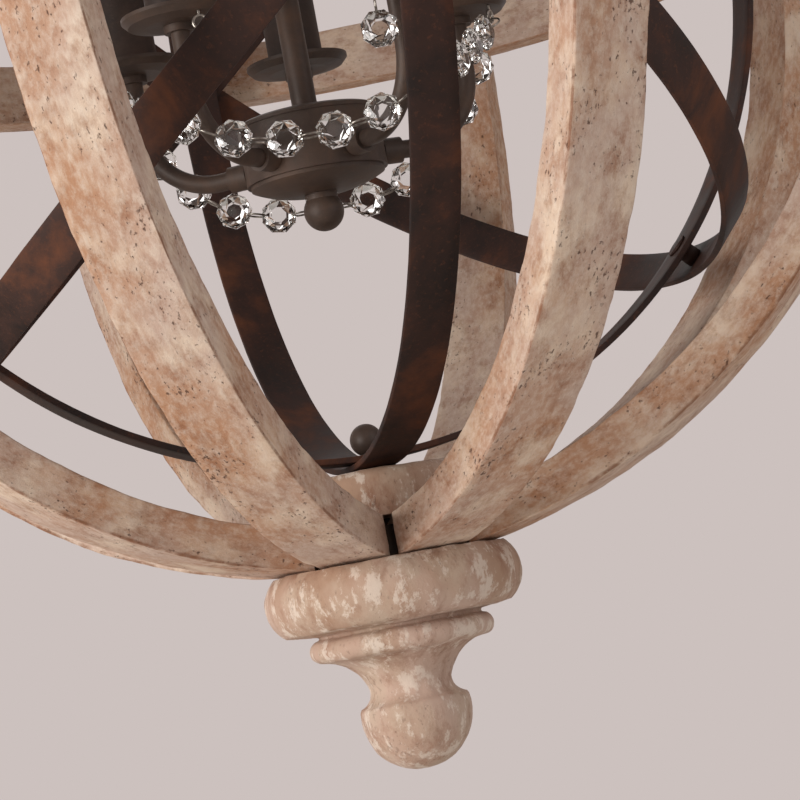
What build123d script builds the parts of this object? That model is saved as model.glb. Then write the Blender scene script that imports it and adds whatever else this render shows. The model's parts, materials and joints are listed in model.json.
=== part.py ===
from build123d import *
import math
import os

os.makedirs("parts", exist_ok=True)

# Orb chandelier, millimetres.
# Origin: on the ceiling plane at the middle of the mounting bracket. +Z up, -Y faces the viewer.
# An azimuth is counted from -Y towards +X, which is a positive turn about +Z.

# ---- driving sizes: wooden orb ----
orb_h = 247.1             # outer vertical half axis of a rib
orb_swell = 6.8           # the horizontal half axis is longer by this
orb_r = orb_h + orb_swell
rib_mid = 2.0             # rib ellipse centre above the iron cage centre
rib_thick = 17.3
rib_width = 29.2
rib_count = 8
rib_first_az = -18.6
mitre_gap = 3.2           # between neighbouring rib ends
rib_tip_r = 8.0           # rib ends stop here, clear of the post
seat_fit = 0.15           # clearance of a housed joint
seat_cut = 3.1            # flat cut where a rib sits on the finial or the cap
seat_low = rib_mid - orb_h + seat_cut
seat_high = rib_mid + orb_h - seat_cut
land_cut = 2.2            # flat land under an inner clamp disc
land_low = rib_mid - orb_h + rib_thick + land_cut
land_high = rib_mid + orb_h - rib_thick - land_cut
band_thick = 16.0
band_height = 28.0
band_mid = 9.3
band_slack = 0.08         # band against the inside of the ribs at its mid height
rib_in_r = orb_r - rib_thick
rib_in_h = orb_h - rib_thick
band_r = rib_in_r * math.sqrt(1 - ((band_mid - rib_mid) / rib_in_h) ** 2) - band_slack
screw_r = 1.9
screw_hole_r = 2.1
screw_head_r = 4.2
screw_head_h = 1.6
screw_sink = 1.6          # head below the rib's face
screw_len = 30.0
clamp_r = 38.5
clamp_thick = 19.0
clamp_round = 6.0
post_r = 5.2
post_hole_r = 5.4

# ---- driving sizes: iron cage ----
hoop_width = 18.4
hoop_thick = 2.6
hoop_step = 3.0           # radius step from one nested hoop to the next
cage_gap = 1.6            # cage to the lower clamp disc, filled by the stud's flange
hoop_inner_r = -land_low - clamp_thick - cage_gap - hoop_step - hoop_thick
cage_az = 14.1            # azimuth of the axis the tilted hoops share
tilt = 42.3               # of the two leaning hoops, from level
rivet_r = 2.3
rivet_hole_r = 2.4
rivet_head_r = 5.0
rivet_head_h = 2.4
rivet_shoulder_r = 4.0
pole_stud_r = 3.4
pole_hole_r = 3.6
ball_nut_r = 6.6
ball_nut_z = -hoop_inner_r + ball_nut_r - 0.2

# ---- driving sizes: arm hub ----
hub_r = 29.0
hub_wall = 3.0
hub_floor = 1.5
hub_top = -61.0
hub_low = -84.0
cover_r = 29.6
cover_thick = 2.5
base_r = 27.5
hub_ball_r = 8.2
hub_ball_z = -98.2
rod_bore_r = 3.5
spigot_r = 3.3

# ---- driving sizes: arms, pans, candles ----
arm_count = 5
arm_first_az = 180.0
arm_reach = 72.0
arm_z = -77.0
arm_r = 3.75
arm_bore_r = 2.75
arm_bend = 30.0
arm_hole_r = 3.9
arm_top = -9.0
nut_r = 5.4
nut_len = 8.0
lock_nut_len = 2.6
pan_r = 22.0
pan_floor_r = 13.0
pan_low = -25.4
pan_thick = 1.5
pan_rim_z = -20.4
sleeve_r = 11.8
sleeve_wall = 1.2
sleeve_top = 61.0
socket_r = 8.5
socket_low = -21.0
socket_top = 50.0
socket_bore_r = 6.4
socket_bore = 26.0

# ---- driving sizes: crystals ----
bead_flat = 14.0          # across flats
bead_table_r = 4.1
bead_half = 3.4           # half the thickness
bead_girdle = 0.8
bead_hole = 5.5           # hole centre from the bead centre
bead_hole_r = 0.9
bead_pitch = 19.6
ring_wire = 0.4
ring_slack = 0.2
eye_r = 2.6
eye_wire = 0.6
hook_r = 17.6             # hook hole from the pan centre
hook_hole_r = 0.8
eye_play = 0.35

# ---- driving sizes: suspension ----
bracket_pitch = 88.9
slot_r = 2.4
slot_len = 9.6
bracket_end = 2.75        # metal left past each slot
bracket_len = bracket_pitch + slot_len + 2 * bracket_end
bracket_width = 20.0
bracket_thick = 2.5
nipple_r = 4.8
nipple_hole_r = 4.95
canopy_r = 63.5
canopy_depth = 26.0
canopy_wall = 1.6
collar_r = 13.0
collar_thick = 8.0
loop_inner_r = 8.0
loop_wire_r = 2.3
link_wire_r = 2.0
link_inner_len = 30.0
link_inner_w = 10.0
link_play = 0.3
link_count = 4
top_ring_r = 9.0
top_wire_r = 2.6
top_base_r = 11.0
top_base_h = 10.0
cap_height = 37.0
cap_top = seat_high + cap_height

# ---- levels that follow from them ----
canopy_low = -canopy_depth
loop_mid = canopy_low - canopy_wall - collar_thick - loop_inner_r - 2 * loop_wire_r - 1.5
link_pitch = link_inner_len - link_play
link_1_mid = loop_mid - loop_inner_r + link_play - link_inner_len / 2
last_low = link_1_mid - (link_count - 1) * link_pitch - link_inner_len / 2
top_ring_mid = last_low + link_play - top_ring_r
top_base_z = top_ring_mid - top_ring_r - 2 * top_wire_r - 1.5 - top_base_h
oz = top_base_z - cap_top


def at(r, az, z):
    """Point at a radius, azimuth and height."""
    a = math.radians(az)
    return (r * math.sin(a), -r * math.cos(a), z)


def aim(r, az, z):
    """Placement at a radius, azimuth and height with its own Z pointing outwards."""
    return Plane(origin=at(r, az, z), z_dir=at(1, az, 0)).location


def spin(shape, az):
    """The same piece turned about the vertical axis."""
    return shape.rotate(Axis.Z, az)


def turned(points, low_bore=0.0):
    """Lathe-turned solid from a closed (radius, height) outline."""
    with BuildPart() as t:
        with BuildSketch(Plane.XZ):
            with BuildLine():
                Polyline(*points, close=True)
            make_face()
        revolve(axis=Axis.Z)
    return t.part


rib_cut_h = 2 * orb_h + 40

# ---- wooden ribs: sawn half ellipses, mitred at the poles, housed over the band ----
rib_plane = Plane(origin=(0, 0, oz), x_dir=(0, -1, 0), z_dir=(-1, 0, 0))
wedge = math.tan(math.radians(180.0 / rib_count))
wedge_tip = mitre_gap / 2 / math.sin(math.radians(180.0 / rib_count))
wedge_far = wedge_tip + (rib_width / 2 + 2) / wedge
with BuildPart() as rib:
    with BuildSketch(rib_plane):
        with Locations((0, rib_mid)):
            Ellipse(orb_r, orb_h)
            Ellipse(rib_in_r, rib_in_h, mode=Mode.SUBTRACT)
        with Locations((orb_r / 2 + rib_tip_r, rib_mid)):
            Rectangle(orb_r, rib_cut_h, mode=Mode.INTERSECT)
        with Locations((orb_r / 2, (seat_low + seat_high) / 2)):
            Rectangle(2 * orb_r, seat_high - seat_low, mode=Mode.INTERSECT)
    extrude(amount=rib_width / 2, both=True)
    with BuildSketch(Plane(origin=(0, 0, oz - rib_cut_h / 2), x_dir=(0, -1, 0), z_dir=(0, 0, 1))):
        with BuildLine():
            Polyline(
                (wedge_tip, 0),
                (wedge_far, rib_width / 2 + 2),
                (orb_r + 5, rib_width / 2 + 2),
                (orb_r + 5, -rib_width / 2 - 2),
                (wedge_far, -rib_width / 2 - 2),
                close=True,
            )
        make_face()
    extrude(amount=rib_cut_h, mode=Mode.INTERSECT)
    # flat lands where the clamp discs bear
    with Locations((0, 0, oz + land_low + 10)):
        Cylinder(clamp_r + 0.4, 20, mode=Mode.SUBTRACT)
    with Locations((0, 0, oz + land_high - 10)):
        Cylinder(clamp_r + 0.4, 20, mode=Mode.SUBTRACT)
    # housing for the band
    with Locations((0, 0, oz + band_mid)):
        Cylinder(band_r + seat_fit, band_height + 2 * seat_fit, mode=Mode.SUBTRACT)
    # screw hole with a countersink, drilled towards the middle
    with Locations(Location((0, -orb_r - 2, oz + band_mid), (-90, 0, 0))):
        Cylinder(screw_hole_r, 60, mode=Mode.SUBTRACT)
        Cylinder(screw_head_r + 0.3, 2 * (2 + screw_sink + screw_head_h), mode=Mode.SUBTRACT)
for k in range(rib_count):
    piece = spin(rib.part, rib_first_az + 360.0 / rib_count * k)
    piece.label = "wood_rib_%d" % (k + 1)
    export_step(piece, "parts/wood_rib_%d.step" % (k + 1))

# ---- equator band: bent wooden hoop inside the ribs ----
with BuildPart() as equator_band:
    with Locations((0, 0, oz + band_mid)):
        Cylinder(band_r, band_height)
        Cylinder(band_r - band_thick, band_height, mode=Mode.SUBTRACT)
    for k in range(rib_count):
        az = rib_first_az + 360.0 / rib_count * k
        with Locations(aim(band_r, az, oz + band_mid)):
            Cylinder(screw_hole_r, 2 * 15.0, mode=Mode.SUBTRACT)
equator_band.part.label = "equator_band"
export_step(equator_band.part, "parts/equator_band.step")

# ---- rib screws: one per rib, head sunk in the countersink ----
head_out = orb_r - screw_sink
with BuildPart() as rib_screws:
    for k in range(rib_count):
        az = rib_first_az + 360.0 / rib_count * k
        with Locations(aim(head_out - screw_head_h / 2, az, oz + band_mid)):
            Cylinder(screw_head_r, screw_head_h)
        with Locations(aim(head_out - screw_len / 2, az, oz + band_mid)):
            Cylinder(screw_r, screw_len)
rib_screws.part.label = "rib_screws"
export_step(rib_screws.part, "parts/rib_screws.step")

# ---- inner clamp discs: turned wood, rounded rims, hold the rib ends ----
with BuildPart() as lower_clamp_disc:
    with Locations((0, 0, oz + land_low + clamp_thick / 2)):
        Cylinder(clamp_r, clamp_thick)
    fillet(lower_clamp_disc.edges().group_by(Axis.Z)[-1], clamp_round)
    with Locations((0, 0, oz + land_low + clamp_thick / 2)):
        Cylinder(post_hole_r, clamp_thick + 2, mode=Mode.SUBTRACT)
lower_clamp_disc.part.label = "lower_clamp_disc"
export_step(lower_clamp_disc.part, "parts/lower_clamp_disc.step")
with BuildPart() as upper_clamp_disc:
    with Locations((0, 0, oz + land_high - clamp_thick / 2)):
        Cylinder(clamp_r, clamp_thick)
    fillet(upper_clamp_disc.edges().group_by(Axis.Z)[0], clamp_round)
    with Locations((0, 0, oz + land_high - clamp_thick / 2)):
        Cylinder(post_hole_r, clamp_thick + 2, mode=Mode.SUBTRACT)
upper_clamp_disc.part.label = "upper_clamp_disc"
export_step(upper_clamp_disc.part, "parts/upper_clamp_disc.step")

# ---- lower finial: turned wood, big rounded disc, small disc, neck and ball ----
disc_r = 52.3
disc_seat_r = 47.5
stud_depth = 24.0


def below(r, depth):
    """Profile point of the lower finial, measured down from the ribs' seat."""
    return (r, seat_low - depth)


def above(r, height):
    """Profile point of the cap, measured up from the ribs' seat."""
    return (r, seat_high + height)


with BuildPart() as lower_finial:
    with BuildSketch(Plane(origin=(0, 0, oz), x_dir=(1, 0, 0), z_dir=(0, -1, 0))):
        with BuildLine():
            Line(below(0, 0), below(disc_seat_r, 0))
            ThreePointArc(below(disc_seat_r, 0), below(disc_r, 12), below(46, 24.2))
            Line(below(46, 24.2), below(34, 25.4))
            ThreePointArc(below(34, 25.4), below(33, 26.4), below(34, 27.4))
            ThreePointArc(below(34, 27.4), below(37.5, 31.6), below(33.5, 36.2))
            ThreePointArc(below(33.5, 36.2), below(22, 41), below(16.6, 50))
            ThreePointArc(below(16.6, 50), below(17.8, 54.6), below(21.4, 57.2))
            Line(below(21.4, 57.2), below(22.2, 59))
            ThreePointArc(below(22.2, 59), below(15.84, 77.84), below(3, 84.2))
            Line(below(3, 84.2), below(0, 84.2))
            Line(below(0, 84.2), below(0, 0))
        make_face()
    revolve(axis=Axis.Z)
    with Locations((0, 0, oz + seat_low - stud_depth / 2)):
        Cylinder(post_hole_r, stud_depth, mode=Mode.SUBTRACT)
lower_finial.part.label = "lower_finial"
export_step(lower_finial.part, "parts/lower_finial.step")

# ---- upper cap: turned wood, mirrored disc with a small dome ----
with BuildPart() as upper_cap:
    with BuildSketch(Plane(origin=(0, 0, oz), x_dir=(1, 0, 0), z_dir=(0, -1, 0))):
        with BuildLine():
            Line(above(0, 0), above(disc_seat_r, 0))
            ThreePointArc(above(disc_seat_r, 0), above(disc_r, 12), above(46, 24.2))
            Line(above(46, 24.2), above(34, 25.4))
            ThreePointArc(above(34, 25.4), above(33, 26.4), above(34, 27.4))
            ThreePointArc(above(34, 27.4), above(31.5, 33.5), above(24, cap_height))
            Line(above(24, cap_height), above(0, cap_height))
            Line(above(0, cap_height), above(0, 0))
        make_face()
    revolve(axis=Axis.Z)
    with Locations((0, 0, oz + (seat_high + cap_top) / 2)):
        Cylinder(post_hole_r, 60, mode=Mode.SUBTRACT)
upper_cap.part.label = "upper_cap"
export_step(upper_cap.part, "parts/upper_cap.step")

# ---- iron hoops: flat strap rolled into rings, nested one outside another ----
axis_az = cage_az
across_az = cage_az + 90.0
el = math.radians(90.0 - tilt)
hoop_names = ["hoop_vertical_b", "hoop_vertical_a", "hoop_tilted_a", "hoop_tilted_b"]
hoop_az = [axis_az, across_az, across_az - 180.0, across_az]
hoop_el = [0.0, 0.0, el, el]
near = Vector(*at(1, axis_az, 0))
far = near * -1.0


def hoop_normal(i):
    """Unit normal of hoop i."""
    a = math.radians(hoop_az[i])
    c = math.cos(hoop_el[i])
    return Vector(c * math.sin(a), -c * math.cos(a), math.sin(hoop_el[i]))


slope_a = hoop_normal(2).cross(near)
slope_b = hoop_normal(3).cross(near)
up = Vector(0, 0, 1)
cross_dirs = [
    [slope_a, slope_a * -1.0, slope_b, slope_b * -1.0],
    [near, far],
    [near, far, slope_a, slope_a * -1.0],
    [near, far, slope_b, slope_b * -1.0],
]
pole_holes = [pole_hole_r, pole_hole_r, 0, 0]
centre = Vector(0, 0, oz)
for i in range(4):
    r_in = hoop_inner_r + i * hoop_step
    ring_plane = Plane(origin=centre, z_dir=hoop_normal(i))
    with BuildPart() as hoop:
        with BuildSketch(ring_plane):
            Circle(r_in + hoop_thick)
            Circle(r_in, mode=Mode.SUBTRACT)
        extrude(amount=hoop_width / 2, both=True)
        for d in cross_dirs[i]:
            with BuildSketch(Plane(origin=centre + d * (r_in - 6), z_dir=d)):
                Circle(rivet_hole_r)
            extrude(amount=16, mode=Mode.SUBTRACT)
        if pole_holes[i] > 0:
            with BuildSketch(Plane(origin=centre - up * (r_in + 8), z_dir=up)):
                Circle(pole_hole_r)
            extrude(amount=16, mode=Mode.SUBTRACT)
            with BuildSketch(Plane(origin=centre + up * (r_in - 6), z_dir=up)):
                Circle(post_hole_r)
            extrude(amount=16, mode=Mode.SUBTRACT)
    hoop.part.label = hoop_names[i]
    export_step(hoop.part, "parts/%s.step" % hoop_names[i])

# ---- hoop rivets: domed heads, a shoulder where the straps stand apart ----
r0 = [hoop_inner_r + i * hoop_step for i in range(4)]
r1 = [r + hoop_thick for r in r0]


def rivet(direction, inner, outer):
    """Rivet from hoop number inner to hoop number outer along a direction."""
    low = r0[inner] - 0.15
    high = r1[outer] + 0.05
    base = Plane(origin=centre + direction * (low - rivet_head_h), z_dir=direction)
    with BuildPart() as v:
        with BuildSketch(base):
            Circle(rivet_head_r)
        extrude(amount=rivet_head_h)
        with BuildSketch(base.offset(rivet_head_h)):
            Circle(rivet_r)
        extrude(amount=high - low)
        with BuildSketch(base.offset(rivet_head_h + high - low)):
            Circle(rivet_head_r)
        extrude(amount=rivet_head_h)
        if outer - inner > 1 and inner == 0:
            with BuildSketch(base.offset(rivet_head_h + r1[inner] - low + 0.1)):
                Circle(rivet_shoulder_r)
            extrude(amount=r0[outer] - r1[inner] - 0.3)
        chamfer(v.edges().filter_by(GeomType.CIRCLE).sort_by(SortBy.RADIUS)[-1], 0.8)
    return v.part


with BuildPart() as hoop_rivets:
    for d in [near, far]:
        add(rivet(d, 1, 3))
    for d in [slope_a, slope_a * -1.0]:
        add(rivet(d, 0, 2))
    for d in [slope_b, slope_b * -1.0]:
        add(rivet(d, 0, 3))
hoop_rivets.part.label = "hoop_rivets"
export_step(hoop_rivets.part, "parts/hoop_rivets.step")

# ---- bottom pole: ball nut inside the cage, stepped stud down into the finial ----
v_in = -hoop_inner_r
v_out = -(hoop_inner_r + hoop_step + hoop_thick)
with BuildPart() as lower_ball_nut:
    with Locations((0, 0, oz + ball_nut_z)):
        Sphere(ball_nut_r)
    with Locations((0, 0, oz + v_in + 0.2 - 5)):
        Box(20, 20, 10, mode=Mode.SUBTRACT)
    with Locations((0, 0, oz + v_in + 4)):
        Cylinder(pole_hole_r, 8, mode=Mode.SUBTRACT)
lower_ball_nut.part.label = "lower_ball_nut"
export_step(lower_ball_nut.part, "parts/lower_ball_nut.step")
flange_low = land_low + clamp_thick
lower_stud_pts = [
    (0, oz + v_in + 7),
    (pole_stud_r, oz + v_in + 7),
    (pole_stud_r, oz + v_out - 0.2),
    (12.0, oz + v_out - 0.2),
    (12.0, oz + flange_low),
    (post_r, oz + flange_low),
    (post_r, oz + seat_low - stud_depth + 1),
    (0, oz + seat_low - stud_depth + 1),
]
lower_stud = turned(lower_stud_pts)
lower_stud.label = "lower_stud"
export_step(lower_stud, "parts/lower_stud.step")

# ---- centre rod: threaded tube from the arm hub up through the cap ----
rod_top = cap_top + top_base_h - 1.5
with BuildPart() as centre_rod:
    with Locations((0, 0, oz + (hub_low + rod_top) / 2)):
        Cylinder(post_r, rod_top - hub_low)
        Cylinder(rod_bore_r, rod_top - hub_low, mode=Mode.SUBTRACT)
centre_rod.part.label = "centre_rod"
export_step(centre_rod.part, "parts/centre_rod.step")

# ---- rod nuts: under and over the cage top, and inside the hub ----
cage_in = hoop_inner_r
cage_out = hoop_inner_r + hoop_step + hoop_thick
collar_top = land_high - clamp_thick
with BuildPart() as rod_nuts:
    with Locations((0, 0, oz + cage_in - 0.2 - 3)):
        Cylinder(9.0, 6)
        Cylinder(post_hole_r, 6, mode=Mode.SUBTRACT)
    with Locations((0, 0, oz + (cage_out + 0.2 + collar_top) / 2)):
        Cylinder(12.0, collar_top - cage_out - 0.2)
        Cylinder(post_hole_r, collar_top - cage_out, mode=Mode.SUBTRACT)
    with Locations((0, 0, oz + hub_low + hub_floor + 3)):
        Cylinder(9.0, 6)
        Cylinder(post_hole_r, 6, mode=Mode.SUBTRACT)
rod_nuts.part.label = "rod_nuts"
export_step(rod_nuts.part, "parts/rod_nuts.step")

# ---- arm hub: cup with five side ports, lid, domed base and ball finial ----
with BuildPart() as hub_cup:
    with Locations((0, 0, oz + (hub_low + hub_top) / 2)):
        Cylinder(hub_r, hub_top - hub_low)
    with Locations((0, 0, oz + (hub_low + hub_floor + hub_top) / 2)):
        Cylinder(hub_r - hub_wall, hub_top - hub_low - hub_floor, mode=Mode.SUBTRACT)
    with Locations((0, 0, oz + hub_low)):
        Cylinder(post_hole_r, 4 * hub_wall, mode=Mode.SUBTRACT)
    for k in range(arm_count):
        az = arm_first_az + 360.0 / arm_count * k
        with Locations(aim(hub_r, az, oz + arm_z)):
            Cylinder(arm_hole_r, 12, mode=Mode.SUBTRACT)
hub_cup.part.label = "hub_cup"
export_step(hub_cup.part, "parts/hub_cup.step")
cover_pts = [
    (post_hole_r, oz + hub_top),
    (cover_r, oz + hub_top),
    (cover_r, oz + hub_top + cover_thick - 1),
    (cover_r - 2, oz + hub_top + cover_thick),
    (12, oz + hub_top + cover_thick + 1.2),
    (post_hole_r, oz + hub_top + cover_thick + 1.2),
]
hub_cover = turned(cover_pts)
hub_cover.label = "hub_cover"
export_step(hub_cover, "parts/hub_cover.step")
with BuildPart() as hub_base:
    with BuildSketch(Plane(origin=(0, 0, oz), x_dir=(1, 0, 0), z_dir=(0, -1, 0))):
        with BuildLine():
            Line((spigot_r + 0.2, hub_low), (base_r, hub_low))
            Line((base_r, hub_low), (base_r, -85.6))
            ThreePointArc((base_r, -85.6), (17, -89.6), (7.5, -91))
            Line((7.5, -91), (spigot_r + 0.2, -91))
            Line((spigot_r + 0.2, -91), (spigot_r + 0.2, hub_low))
        make_face()
    revolve(axis=Axis.Z)
hub_base.part.label = "hub_base"
export_step(hub_base.part, "parts/hub_base.step")
with BuildPart() as hub_finial:
    with Locations((0, 0, oz + hub_ball_z)):
        Sphere(hub_ball_r)
    with Locations((0, 0, oz - 91 + 5)):
        Box(20, 20, 10, mode=Mode.SUBTRACT)
    with Locations((0, 0, oz - 92.4)):
        Cylinder(6.6, 2.8)
    with Locations((0, 0, oz - 84)):
        Cylinder(spigot_r, 20)
hub_finial.part.label = "hub_finial"
export_step(hub_finial.part, "parts/hub_finial.step")

# ---- arms: bent tube, level out of the hub, then a quarter bend up to the pan ----
bend_r = arm_reach - arm_bend
with BuildPart() as arm:
    with BuildLine() as arm_path:
        p0 = (0, -(hub_r - hub_wall - 4), oz + arm_z)
        p1 = (0, -bend_r, oz + arm_z)
        k45 = arm_bend * math.sin(math.radians(45))
        p2 = (0, -bend_r - k45, oz + arm_z + arm_bend - k45)
        p3 = (0, -arm_reach, oz + arm_z + arm_bend)
        p4 = (0, -arm_reach, oz + arm_top)
        Line(p0, p1)
        ThreePointArc(p1, p2, p3)
        Line(p3, p4)
    with BuildSketch(Plane(origin=p0, z_dir=(0, -1, 0))):
        Circle(arm_r)
        Circle(arm_bore_r, mode=Mode.SUBTRACT)
    sweep(path=arm_path.wire())
for k in range(arm_count):
    piece = spin(arm.part, arm_first_az + 360.0 / arm_count * k)
    piece.label = "arm_%d" % (k + 1)
    export_step(piece, "parts/arm_%d.step" % (k + 1))

# ---- arm nuts: ferrule outside the hub, lock nut inside it, nut under each pan ----
with BuildPart() as arm_nuts:
    for k in range(arm_count):
        az = arm_first_az + 360.0 / arm_count * k
        with Locations(aim(hub_r + nut_len / 2 + 0.2, az, oz + arm_z)):
            Cylinder(nut_r, nut_len)
            Cylinder(arm_hole_r, nut_len, mode=Mode.SUBTRACT)
        inside = hub_r - hub_wall - lock_nut_len / 2 - 0.9
        with Locations(aim(inside, az, oz + arm_z)):
            Cylinder(nut_r - 0.2, lock_nut_len)
            Cylinder(arm_hole_r, lock_nut_len, mode=Mode.SUBTRACT)
        with Locations(at(arm_reach, az, oz + pan_low - 1.5)):
            Cylinder(6.0, 3.0)
            Cylinder(arm_hole_r, 3.0, mode=Mode.SUBTRACT)
arm_nuts.part.label = "arm_nuts"
export_step(arm_nuts.part, "parts/arm_nuts.step")

# ---- strand hooks: where each pan carries an eye, as azimuths about the pan centre ----
# each entry: arm number, azimuth of the hole about the pan centre, azimuth of the eye's plane
front_turn = 50.0
rear_turn = 140.0
drop_turn = 30.0
side_az = 108.0
near_az = 36.0


def hook_point(arm_az, turn):
    """Plan position of a hook hole in the pan of the arm at an azimuth."""
    c = at(arm_reach, arm_az, 0)
    h = at(hook_r, turn, 0)
    return (c[0] + h[0], c[1] + h[1])


front_hook = hook_point(side_az, front_turn)
rear_hook = hook_point(side_az, rear_turn)
drop_hook = hook_point(near_az, -drop_turn)
lean_x = 47.0
lean_y = -(arm_reach * math.cos(math.radians(near_az)) + arm_r + bead_half + 1.4)
front_plan = math.degrees(math.atan2(lean_x - front_hook[0], front_hook[1] - lean_y))
hook_list = [
    (4, front_hook, front_plan),
    (4, rear_hook, 90.0),
    (3, drop_hook, 90.0),
    (1, (-front_hook[0], front_hook[1]), -front_plan),
    (1, (-rear_hook[0], rear_hook[1]), 90.0),
    (2, (-drop_hook[0], drop_hook[1]), 90.0),
]

# ---- drip pans: spun dish under each candle ----
pan_pts = [
    (arm_hole_r, pan_low),
    (pan_floor_r, pan_low),
    (pan_r - 2.2, pan_low + 1.2),
    (pan_r, pan_rim_z - 1.4),
    (pan_r, pan_rim_z),
    (pan_r - 1.4, pan_rim_z),
    (pan_r - 3.0, pan_low + 1.2 + pan_thick),
    (pan_floor_r - 0.2, pan_low + pan_thick),
    (arm_hole_r, pan_low + pan_thick),
]
pan_blank = turned([(p[0], p[1] + oz) for p in pan_pts])
for k in range(arm_count):
    az = arm_first_az + 360.0 / arm_count * k
    centre_xy = at(arm_reach, az, 0)
    with BuildPart() as drip_pan:
        with Locations(centre_xy):
            add(pan_blank)
        for h in hook_list:
            if h[0] == k:
                with Locations((h[1][0], h[1][1], oz + pan_low)):
                    Cylinder(hook_hole_r, 12, mode=Mode.SUBTRACT)
    drip_pan.part.label = "drip_pan_%d" % (k + 1)
    export_step(drip_pan.part, "parts/drip_pan_%d.step" % (k + 1))

# ---- candle sleeves: plain tube standing on the pan floor ----
sleeve_low = pan_low + pan_thick
for k in range(arm_count):
    az = arm_first_az + 360.0 / arm_count * k
    with BuildPart() as candle_sleeve:
        with Locations(at(arm_reach, az, oz + (sleeve_low + sleeve_top) / 2)):
            Cylinder(sleeve_r, sleeve_top - sleeve_low)
            Cylinder(sleeve_r - sleeve_wall, sleeve_top - sleeve_low, mode=Mode.SUBTRACT)
    candle_sleeve.part.label = "candle_sleeve_%d" % (k + 1)
    export_step(candle_sleeve.part, "parts/candle_sleeve_%d.step" % (k + 1))

# ---- lamp sockets: lampholder inside each sleeve, on the end of the arm ----
with BuildPart() as lamp_sockets:
    for k in range(arm_count):
        az = arm_first_az + 360.0 / arm_count * k
        with Locations(at(arm_reach, az, oz + (socket_low + socket_top) / 2)):
            Cylinder(socket_r, socket_top - socket_low)
        with Locations(at(arm_reach, az, oz + (socket_low + arm_top) / 2)):
            Cylinder(arm_hole_r, arm_top - socket_low + 1, mode=Mode.SUBTRACT)
        with Locations(at(arm_reach, az, oz + socket_top - socket_bore / 2)):
            Cylinder(socket_bore_r, socket_bore, mode=Mode.SUBTRACT)
lamp_sockets.part.label = "lamp_sockets"
export_step(lamp_sockets.part, "parts/lamp_sockets.step")

# ---- strand hooks: headed pin through the pan with an eye below ----
eye_mid = pan_low - 1.0 - eye_r
with BuildPart() as strand_hooks:
    for h in hook_list:
        x, y = h[1]
        with Locations((x, y, oz + pan_low + 1.2 + pan_thick + 1.0)):
            Cylinder(1.3, 0.8)
        with Locations((x, y, oz + (pan_low + 3.7 + eye_mid + eye_r) / 2)):
            Cylinder(eye_wire, pan_low + 3.7 - eye_mid - eye_r)
        with Locations(Plane(origin=(x, y, oz + eye_mid), z_dir=at(1, h[2] + 90.0, 0)).location):
            Torus(eye_r, eye_wire)
strand_hooks.part.label = "strand_hooks"
export_step(strand_hooks.part, "parts/strand_hooks.step")

# ---- crystal bead: cut-glass octagon, bevelled to a table on both faces, two wire holes ----
with BuildPart() as bead:
    with BuildSketch(Plane.XY.offset(-bead_half)):
        RegularPolygon(bead_table_r, 8, major_radius=False)
    with BuildSketch(Plane.XY.offset(-bead_girdle)):
        RegularPolygon(bead_flat / 2, 8, major_radius=False)
    with BuildSketch(Plane.XY.offset(bead_girdle)):
        RegularPolygon(bead_flat / 2, 8, major_radius=False)
    with BuildSketch(Plane.XY.offset(bead_half)):
        RegularPolygon(bead_table_r, 8, major_radius=False)
    loft(ruled=True)
    with Locations((bead_hole, 0, 0), (-bead_hole, 0, 0)):
        Cylinder(bead_hole_r, 12, mode=Mode.SUBTRACT)


def place_bead(mid, along, out):
    """Bead at a point, its holes along one direction and its table facing another."""
    return Plane(origin=mid, x_dir=along, z_dir=out).location * bead.part


def wire_ring(a, b, out, slack=ring_slack):
    """Wire ring from hole a to hole b, standing in the plane of a-b and out."""
    along = (b - a).normalized()
    face = along.cross(out).normalized()
    with BuildPart(Plane(origin=(a + b) * 0.5, x_dir=along, z_dir=face)) as w:
        Torus((b - a).length / 2 + slack, ring_wire)
    return w.part


def walk(curve, steps=600):
    """Points along a curve given as a function of 0..1, with arc lengths."""
    pts = [curve(i / steps) for i in range(steps + 1)]
    run = [0.0]
    for i in range(steps):
        run.append(run[-1] + (pts[i + 1] - pts[i]).length)
    return pts, run


def pick(pts, run, s):
    """Point at arc length s."""
    for i in range(len(run) - 1):
        if run[i + 1] >= s:
            t = (s - run[i]) / (run[i + 1] - run[i])
            return pts[i] + (pts[i + 1] - pts[i]) * t
    return pts[-1]


def strand(curve, out_hint):
    """Crystal strand hung between two eyes: beads, links between them and end rings."""
    pts, run = walk(curve)
    lead = 2 * 4.2 + bead_hole
    free = run[-1] - 2 * lead
    count = int(round(free / bead_pitch)) + 1
    gap = free / (count - 1)
    mids = [pick(pts, run, lead + i * gap) for i in range(count)]
    solids = []
    holes = []
    outs = []
    for i in range(count):
        before = mids[i - 1] if i > 0 else pts[0]
        after = mids[i + 1] if i < count - 1 else pts[-1]
        along = ((mids[i] - before).normalized() + (after - mids[i]).normalized()).normalized()
        flat = Vector(along.X, along.Y, 0)
        out = flat.cross(up).normalized()
        if flat.length < 0.05:
            out = out_hint
        if out.dot(out_hint) < 0:
            out = out * -1.0
        holes.append((mids[i] - along * bead_hole, mids[i] + along * bead_hole))
        outs.append(out)
        solids.append(place_bead(mids[i], along, out))
    for i in range(count - 1):
        mean = (outs[i] + outs[i + 1]).normalized()
        solids.append(wire_ring(holes[i][1], holes[i + 1][0], mean))
    lift = eye_wire + ring_wire + eye_play
    solids.append(wire_ring(pts[0] + up * lift, holes[0][0], outs[0], 0.0))
    solids.append(wire_ring(pts[-1] + up * lift, holes[-1][1], outs[-1], 0.0))
    return solids


# ---- front strand: hung from the two side pans, leaning on the two near arms ----
eye_z = oz + eye_mid - eye_r
front_low = oz - 78.5
front_power = 2.4


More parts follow.
